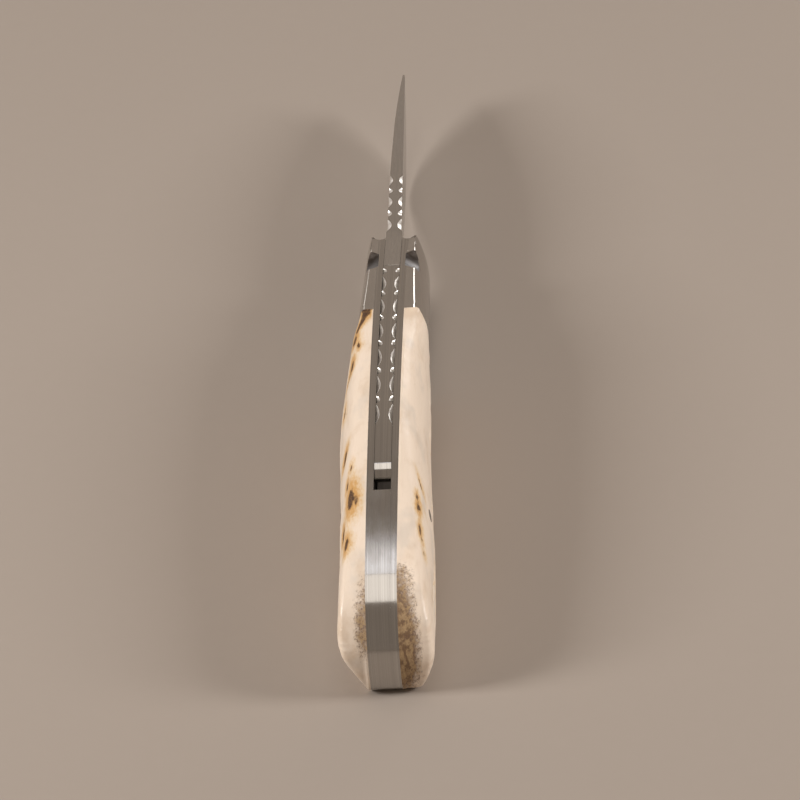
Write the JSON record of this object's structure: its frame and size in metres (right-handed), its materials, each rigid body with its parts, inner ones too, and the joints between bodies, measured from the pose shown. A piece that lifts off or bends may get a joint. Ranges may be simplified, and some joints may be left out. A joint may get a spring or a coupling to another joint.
{
  "type": "folding pocket knife",
  "caption": "Lock-back folding pocket knife with stag scales, steel bolsters, filed lock bar and blade spine; the blade folds into the handle and the bar rocks to release it.",
  "frame": {"origin": "on the surface that the open knife stands on, under the middle of its length and width", "axes": "+Y towards the blade's tip, +Z towards the spine, +X to the right seen from the butt"},
  "size_m": [0.0191, 0.178, 0.0245],
  "materials": {
    "blade_steel": "satin ground",
    "frame_steel": "hand satin, brushed along",
    "bolster_steel": "polished",
    "spring_steel": "tempered",
    "pin_steel": "ground flush",
    "bronze": "lapped",
    "stag": "natural stag, smoothed, with dark bark marks"
  },
  "bodies": {
    "handle": {"lock_spring": "spring_steel", "backspacer": "frame_steel", "left_liner": "frame_steel", "right_liner": "frame_steel", "left_bolster": "bolster_steel", "right_bolster": "bolster_steel", "left_scale": "stag", "right_scale": "stag", "pivot_pin": "pin_steel", "left_pivot_washer": "bronze", "right_pivot_washer": "bronze", "lock_bar_pin": "pin_steel", "backspacer_front_pin": "pin_steel", "backspacer_butt_pin": "pin_steel", "left_bolster_rivets": "pin_steel", "right_bolster_rivets": "pin_steel", "left_scale_pin": "pin_steel", "right_scale_pin": "pin_steel"},
    "blade": {"blade": "blade_steel"},
    "lock_bar": {"lock_bar": "frame_steel"}
  },
  "joints": [
    {"name": "blade_fold", "type": "hinge", "parent": "handle", "child": "blade", "pos_m": [0, 0.017, 0.009], "axis": [-1, 0, 0], "range_deg": [0, 178]},
    {"name": "lock_bar_press", "type": "hinge", "parent": "handle", "child": "lock_bar", "pos_m": [0, -0.02299, 0.02043], "axis": [1, 0, 0], "range_deg": [0, 3], "stiffness_Nm_per_rad": 0.3, "springref_deg": -2.86, "deforming": ["lock_spring"]}
  ]
}
